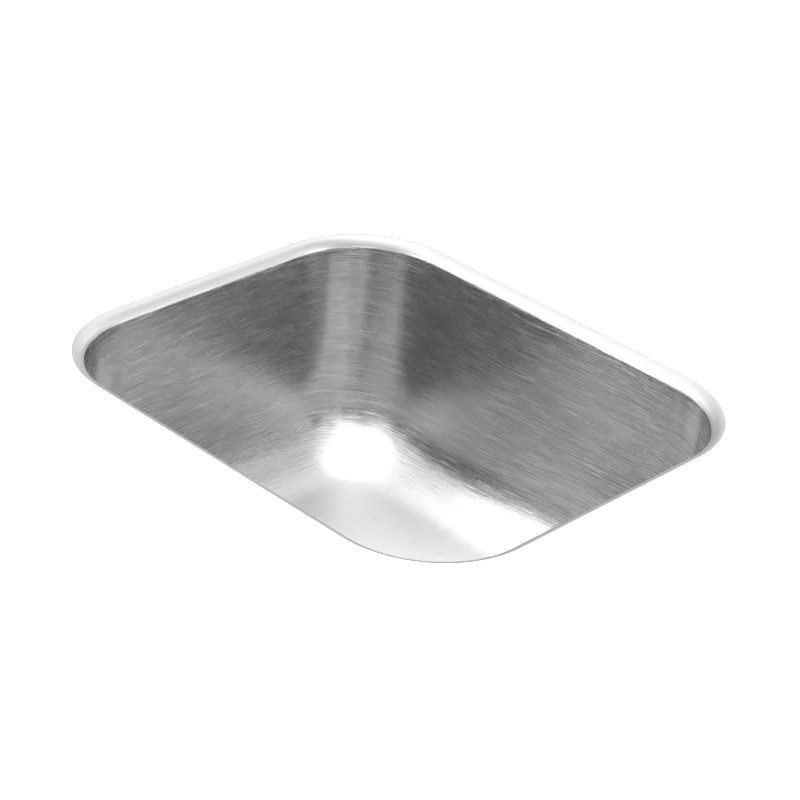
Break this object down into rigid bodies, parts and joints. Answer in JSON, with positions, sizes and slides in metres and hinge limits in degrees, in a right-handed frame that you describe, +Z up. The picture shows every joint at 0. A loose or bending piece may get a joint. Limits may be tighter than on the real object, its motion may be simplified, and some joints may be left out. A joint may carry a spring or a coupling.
{
  "type": "undermount kitchen sink",
  "caption": "Single-bowl undermount kitchen sink in brushed steel with rounded corners, a mounting flange, a centre drain with lift-out basket, a waste tube and clips.",
  "frame": {"origin": "middle of the bowl's mouth, on the top face of the flange, which is the underside of the worktop", "axes": "+Z up out of the bowl, +X along the long side of the bowl, -Y towards the user at the front"},
  "size_m": [0.5318, 0.4684, 0.3711],
  "materials": {
    "pressed_steel": "fine brushed satin",
    "sound_pad": "matt, lightly dimpled",
    "strainer_steel": "polished",
    "foam_seal": "closed-cell foam",
    "black_rubber": "matt",
    "fibre": "pressed fibre",
    "cast_zinc": "die-cast, dull",
    "polished_chrome": "polished",
    "white_washer": "moulded",
    "plated_steel": "zinc plated"
  },
  "bodies": {
    "sink": {"sink_bowl": "pressed_steel", "bottom_pad": "sound_pad", "front_pad": "sound_pad", "back_pad": "sound_pad", "left_pad": "sound_pad", "right_pad": "sound_pad", "strainer_body": "strainer_steel", "drain_gasket": "foam_seal", "rubber_washer": "black_rubber", "friction_ring": "fibre", "lock_nut": "cast_zinc", "tailpiece_washer": "white_washer", "tailpiece": "polished_chrome", "coupling_nut": "cast_zinc", "stud_plates": "plated_steel", "sink_clips": "plated_steel", "wing_nuts": "plated_steel"},
    "basket_stem": {"basket_post": "polished_chrome", "post_knob": "polished_chrome", "post_nut": "polished_chrome", "stopper": "black_rubber"},
    "basket": {"strainer_basket": "strainer_steel"}
  },
  "joints": [
    {"name": "basket_lift", "type": "slide", "parent": "sink", "child": "basket_stem", "axis": [0, 0, 1], "range_m": [0, 0.27]},
    {"name": "basket_turn", "type": "hinge", "parent": "basket_stem", "child": "basket", "pos_m": [0, 0, -0.2412], "axis": [0, 0, 1], "continuous": true}
  ]
}
